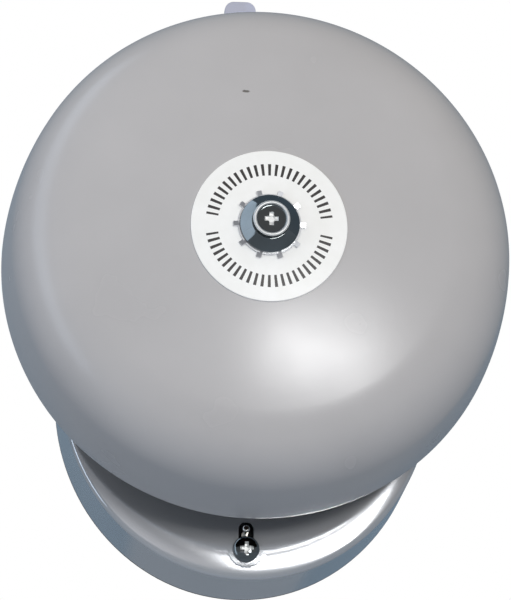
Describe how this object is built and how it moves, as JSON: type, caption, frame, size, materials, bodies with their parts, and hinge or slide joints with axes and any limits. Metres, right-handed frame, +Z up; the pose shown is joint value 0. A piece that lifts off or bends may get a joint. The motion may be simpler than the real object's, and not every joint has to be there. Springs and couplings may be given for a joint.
{
  "type": "wall-mounted electric bell",
  "caption": "Wall-mounted electric bell: a domed gong on a central pillar over an oval case that holds the electromagnet, armature and striker.",
  "frame": {"origin": "on the wall face of the back plate, on the gong's axis", "axes": "+Z up along the hanging lug, +Y into the wall, so the gong's crown faces -Y"},
  "size_m": [0.152, 0.1053, 0.1935],
  "materials": {
    "gong_paint": "semi-gloss silver-grey stove enamel",
    "case_paint": "semi-gloss silver-grey stove enamel",
    "white_print": "white printed aluminium disc",
    "black_chrome": "polished dark chromium plate",
    "bright_nickel": "polished nickel plate",
    "zinc_plate": "bright zinc plate",
    "soft_iron": "ground soft iron",
    "spring_steel": "polished spring steel",
    "spring_bronze": "rolled phosphor bronze",
    "brass": "turned brass",
    "coil_tape": "varnished cotton tape",
    "bobbin_nylon": "moulded natural nylon",
    "phenolic": "moulded black phenolic",
    "fibre": "red vulcanised fibre",
    "black_rubber": "moulded rubber",
    "red_lead": "extruded PVC",
    "black_lead": "extruded PVC",
    "capsule": "dipped resin",
    "tinned_wire": "tinned copper"
  },
  "bodies": {
    "frame": {"back_plate": "zinc_plate", "base_gasket": "black_rubber", "block_screw": "zinc_plate", "bobbin_left": "bobbin_nylon", "bobbin_right": "bobbin_nylon", "bracket_screws": "brass", "cable_grommet": "black_rubber", "case_cover": "case_paint", "chassis": "zinc_plate", "chassis_screws": "zinc_plate", "cone_washer": "black_chrome", "contact_bracket": "brass", "contact_insulator": "fibre", "contact_locknut": "brass", "cover_post": "bright_nickel", "cover_screw": "black_chrome", "gong": "gong_paint", "gong_label": "white_print", "gong_pillar": "zinc_plate", "gong_screw": "black_chrome", "lead_coil_chassis": "black_lead", "lead_coil_link": "tinned_wire", "lead_contact_terminal": "black_lead", "lead_terminal_coil": "red_lead", "lock_washer": "zinc_plate", "magnet_cores": "soft_iron", "magnet_yoke": "soft_iron", "pillar_grommet": "black_rubber", "pillar_screws": "zinc_plate", "seat_washer": "fibre", "spring_clamp": "zinc_plate", "spring_screws": "zinc_plate", "suppressor": "capsule", "suppressor_tails": "tinned_wire", "terminal_block": "phenolic", "terminal_plates": "brass", "terminal_screws": "brass", "winding_left": "coil_tape", "winding_right": "coil_tape", "yoke_screws": "zinc_plate"},
    "armature": {"armature": "soft_iron", "hinge_spring": "spring_steel", "contact_blade": "spring_bronze", "armature_rivets": "brass", "striker_rod": "spring_steel", "striker_head": "brass"},
    "contact_screw": {"contact_screw": "brass"}
  },
  "joints": [
    {"name": "armature_swing", "type": "hinge", "parent": "frame", "child": "armature", "pos_m": [-0.0245, -0.0148, -0.0319], "axis": [0, 1, 0], "range_deg": [0, 2], "stiffness_Nm_per_rad": 0.6, "springref_deg": -2.29, "deforming": ["hinge_spring"]},
    {"name": "contact_screw_turn", "type": "hinge", "parent": "frame", "child": "contact_screw", "pos_m": [0.019, -0.0148, -0.02], "axis": [0, 0, 1], "range_deg": [-180, 180]}
  ]
}
